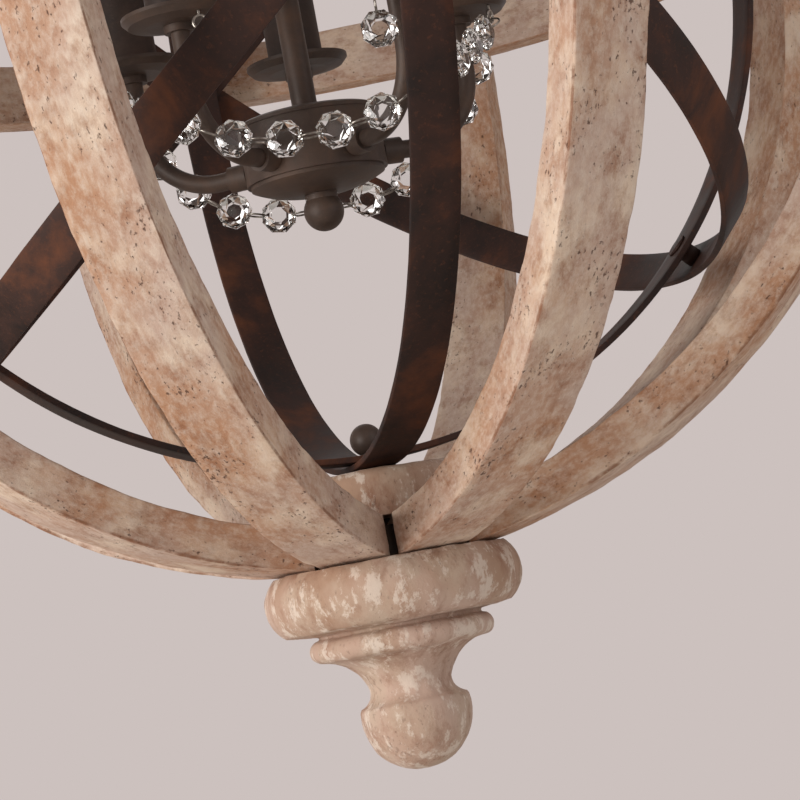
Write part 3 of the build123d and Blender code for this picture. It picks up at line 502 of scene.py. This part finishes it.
bead_r, girdle, facet_row = 0.00758, 0.0012, 0.0014
ring_reach = 0.0068         # a solid that reaches further from its middle is a bead
eighth = math.radians(22.5)
bpy.ops.mesh.primitive_cylinder_add(vertices=8, radius=bead_r, depth=girdle)
bead = bpy.context.object
bpy.ops.object.mode_set(mode="EDIT")
for up in (1, -1):
    net = bmesh.from_edit_mesh(bead.data)
    bpy.ops.mesh.select_mode(type="FACE")
    for f in net.faces:
        f.select_set(f.normal.z * up > 0.9)
    bmesh.update_edit_mesh(bead.data)
    for shrink, turn in ((0.8, eighth), (0.56, -eighth)):
        bpy.ops.mesh.extrude_region_move(TRANSFORM_OT_translate={"value": (0, 0, up * facet_row)})
        bpy.ops.transform.resize(value=(shrink, shrink, 1), center_override=(0, 0, 0))
        bpy.ops.transform.rotate(value=turn, orient_axis="Z", center_override=(0, 0, 0))
bpy.ops.mesh.select_all(action="SELECT")
bpy.ops.mesh.convex_hull()
bpy.ops.mesh.select_all(action="SELECT")
bpy.ops.transform.rotate(value=eighth, orient_axis="Z", center_override=(0, 0, 0))
bpy.ops.mesh.normals_make_consistent(inside=False)
bpy.ops.object.mode_set(mode="OBJECT")

for node, name, body in (("crystal_strand_front", "front_strand", "front_strand"),
                         ("crystal_strand_rear", "rear_strand", "rear_strand"),
                         ("crystal_drop_left", "drop_left", "drop_left"),
                         ("crystal_drop_right", "drop_right", "drop_right")):
    rings, beads = [], []
    for o in loose_parts(node, name):
        pts = [v.co.copy() for v in o.data.vertices]
        mid = sum(pts, Vector()) / len(pts)
        reach = max((q - mid).length for q in pts)
        if reach > ring_reach:
            beads.append((o, mid, pts))
        else:
            rings.append(o)
    cut = []
    for o, mid, pts in beads:
        # the bead's own frame: thin across its face, most of its points at the two wire holes
        cov = [[sum((q - mid)[i] * (q - mid)[j] for q in pts) / len(pts) for j in range(3)] for i in range(3)]
        cov = Matrix(cov)
        grow = Vector((0.3, 0.5, 0.8))
        for step in range(60):
            grow = (cov @ grow).normalized()
        shrink, inverse = Vector((0.7, -0.2, 0.4)), cov.inverted()
        for step in range(60):
            shrink = (inverse @ shrink).normalized()
        side = shrink.cross(grow).normalized()
        place = Matrix((grow, side, grow.cross(side))).transposed().to_4x4()
        place.translation = mid
        copy = bpy.data.objects.new("bead", bead.data.copy())
        bpy.context.collection.objects.link(copy)
        copy.data.transform(place)
        cut.append(copy)
        bpy.data.objects.remove(o)
    for group, label, material, slot in ((cut, "beads", glass, "cut_glass"), (rings, "rings", wire, "steel_wire")):
        bpy.ops.object.select_all(action="DESELECT")
        for o in group:
            o.select_set(True)
        bpy.context.view_layer.objects.active = group[0]
        if len(group) > 1:
            bpy.ops.object.join()
        piece = bpy.context.object
        seat(piece, "%s_%s" % (name, label), material, body, [node])
        if label == "beads":
            for p in piece.data.polygons:
                p.use_smooth = False
bpy.data.objects.remove(bead)

# ------------------------------------------------------------------ candle fitting and hanging hardware
# Arms, hub, pans, rod, chain and canopy are turned or spun steel in the same dark wax; sleeves are a shade
# warmer and dry; lampholders are moulded phenolic; bracket, nipple and screws are zinc plated.
sleeve_iron = iron("dry aged iron sleeve", "#2e2522", "#40332d", "#54423a", 0.62, 0.15, 30.0)
zinc = iron("dull zinc plate", "#77736e", "#8c8882", "#a09a92", 0.42, 1.0, 60.0)
phenolic, t, s = finish("moulded phenolic")
coord = put(t, "ShaderNodeTexCoord")
flow = noise(t, 160.0, 3.0, coord.outputs["Object"])
tone = put(t, "ShaderNodeValToRGB", {"stops": [(0.3, "#151211"), (0.7, "#211c1a")]}, {0: flow})
t.links.new(tone.outputs[0], s.inputs["Base Color"])
s.inputs["Roughness"].default_value = 0.45
slot_finish = {"bleached_wood": bleached, "limed_wood": limed, "rusty_iron": rusty, "dark_iron": wrought,
               "aged_iron_sleeve": sleeve_iron, "socket_plastic": phenolic, "steel_wire": wire,
               "plated_steel": zinc, "cut_glass": glass}
for part in frame["record"]["subparts"]:
    node = cad[part["node"]]
    node.data.materials.clear()
    node.data.materials.append(slot_finish[part["material_slot"]])

# ------------------------------------------------------------------ studio
# Plain pale floor under the hanging piece, a pale surround, soft key light from the left at the cage's height.
floor_z, floor_r = -1.4, 3.0
bpy.ops.mesh.primitive_circle_add(vertices=96, radius=floor_r, fill_type="NGON", location=(0, 0, floor_z))
floor = bpy.context.object
floor.name = "floor"
paper, t, s = finish("pale floor")
coord = put(t, "ShaderNodeTexCoord")
mottle = noise(t, 3.0, 4.0, coord.outputs["Object"])
tone = put(t, "ShaderNodeValToRGB", {"stops": [(0.3, "#dfd8d3"), (0.7, "#e6e0db")]}, {0: mottle})
t.links.new(tone.outputs[0], s.inputs["Base Color"])
s.inputs["Roughness"].default_value = 0.9
floor.data.materials.append(paper)

world = bpy.data.worlds.new("studio")
bpy.context.scene.world = world
world.use_nodes = True
t = world.node_tree
t.nodes.clear()
seen = put(t, "ShaderNodeBackground", {"Color": linear("#ccc1be"), "Strength": 1.0})
fill = put(t, "ShaderNodeBackground", {"Color": linear("#f2eeea"), "Strength": 0.38})
path = put(t, "ShaderNodeLightPath")
either = path.outputs["Is Camera Ray"]
for ray in ("Is Glossy Ray", "Is Transmission Ray"):
    either = put(t, "ShaderNodeMath", {"operation": "MAXIMUM"}, {0: either, 1: path.outputs[ray]}).outputs[0]
mix = put(t, "ShaderNodeMixShader", None, {0: either, 1: fill.outputs[0], 2: seen.outputs[0]})
put(t, "ShaderNodeOutputWorld", None, {0: mix.outputs[0]})


def lamp(name, place, aim, size, watts, tint):
    """Square soft light, not seen itself."""
    bpy.ops.object.light_add(type="AREA", location=place)
    light = bpy.context.object
    light.name = name
    light.data.size = size
    light.data.energy = watts
    light.data.color = tint
    light.rotation_euler = (Vector(aim) - Vector(place)).to_track_quat("-Z", "Y").to_euler()
    light.visible_camera = False


lamp("key light", (-1.6, -1.15, -0.45), (0, 0, cage_z), 1.1, 35, (1.0, 0.98, 0.95))
lamp("side light", (1.5, -1.1, -0.1), (0, 0, cage_z), 1.4, 8, (0.97, 0.98, 1.0))
lamp("back light", (-0.5, 1.6, 0.6), (0, 0, cage_z), 1.4, 9, (1.0, 0.99, 0.98))

# camera at the photograph's place, below the orb and looking slightly up, turned about its own line of sight
yaw, pitch, roll = 0.0179, 0.0815, -0.1832
forward = Vector((math.sin(yaw) * math.cos(pitch), math.cos(yaw) * math.cos(pitch), math.sin(pitch)))
right_0 = Vector((math.cos(yaw), -math.sin(yaw), 0))
up_0 = right_0.cross(forward)
right = math.cos(roll) * right_0 + math.sin(roll) * up_0
up = -math.sin(roll) * right_0 + math.cos(roll) * up_0
view = Matrix((right, up, -forward)).transposed().to_4x4()
view.translation = Vector((0, -1.1301, -0.2718 + cage_z))
bpy.ops.object.camera_add()
camera = bpy.context.object
camera.matrix_world = view
camera.data.lens = 126.3
camera.data.shift_x = -0.0117
camera.data.shift_y = -0.0022
bpy.context.scene.camera = camera
bpy.context.scene.view_settings.view_transform = "Standard"
